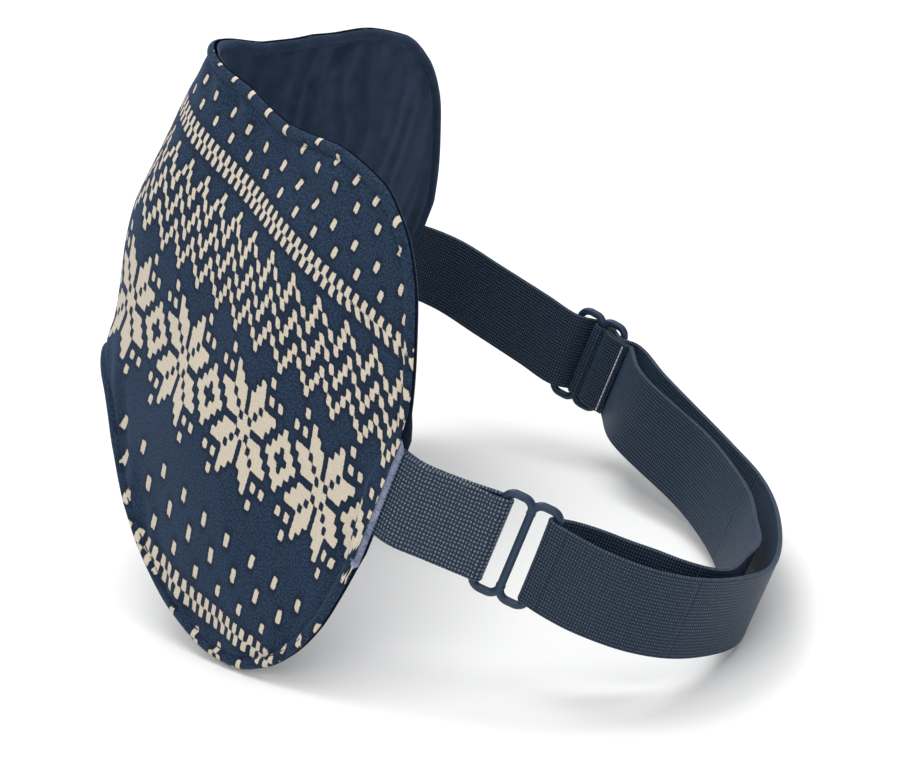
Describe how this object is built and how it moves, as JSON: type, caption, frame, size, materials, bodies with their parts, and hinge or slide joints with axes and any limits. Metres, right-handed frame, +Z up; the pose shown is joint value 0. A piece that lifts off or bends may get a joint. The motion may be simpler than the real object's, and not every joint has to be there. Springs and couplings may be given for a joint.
{
  "type": "eye pillow",
  "caption": "Grain-filled fabric eye pillow bent into a U, with a nose cut-out and an elastic head strap set by a wire slider and a wire ring",
  "frame": {"origin": "centre of the bounding box at floor level; the pillow stands on its two lower lobes and on the bend of the strap", "axes": "+Z up, -Y the printed front over the eyes, +Y toward the back of the head, +X the wearer-side end with the opening and the short elastic loop"},
  "size_m": [0.1676, 0.1551, 0.1281],
  "materials": {
    "printed_fabric": "brushed woven cloth, navy with a cream knit-chart print",
    "plush_lining": "short navy plush",
    "rolled_seam": "rolled navy seam",
    "thread": "matte navy sewing thread",
    "light_thread": "pale sewing thread",
    "cotton_bag": "plain undyed cotton",
    "grain": "loose dry seed",
    "elastic": "woven navy elastic with a soft sheen",
    "coated_wire": "satin navy coating",
    "fastener_tape": "fuzzy pale lavender-grey loop pile"
  },
  "bodies": {
    "pillow": {"front_panel": "printed_fabric", "back_panel": "plush_lining", "edge_seam_upper": "rolled_seam", "edge_seam_lower": "rolled_seam", "topstitch_upper": "thread", "topstitch_lower": "thread", "bag_front": "cotton_bag", "bag_back": "cotton_bag", "grain_fill_1": "grain", "grain_fill_2": "grain", "grain_fill_3": "grain", "grain_fill_4": "grain", "grain_fill_5": "grain", "grain_fill_6": "grain", "short_loop": "elastic", "head_strap": "elastic", "opening_loop_tape": "fastener_tape", "opening_hook_tape": "fastener_tape"},
    "ring": {"near_ring": "coated_wire"},
    "slider": {"adjuster_slider": "coated_wire", "strap_end_tab": "elastic", "strap_end_stitching": "light_thread"}
  },
  "joints": [
    {"name": "slider_slide", "type": "slide", "parent": "pillow", "child": "slider", "axis": [0.454, 0.8062, -0.3794], "range_m": [-0.025, 0.004], "deforming": ["head_strap"]},
    {"name": "ring_swing", "type": "hinge", "parent": "pillow", "child": "ring", "pos_m": [0.07236, 0.0131, 0.0374], "axis": [0, 0.4258, 0.9048], "range_deg": [-12, 12]}
  ]
}
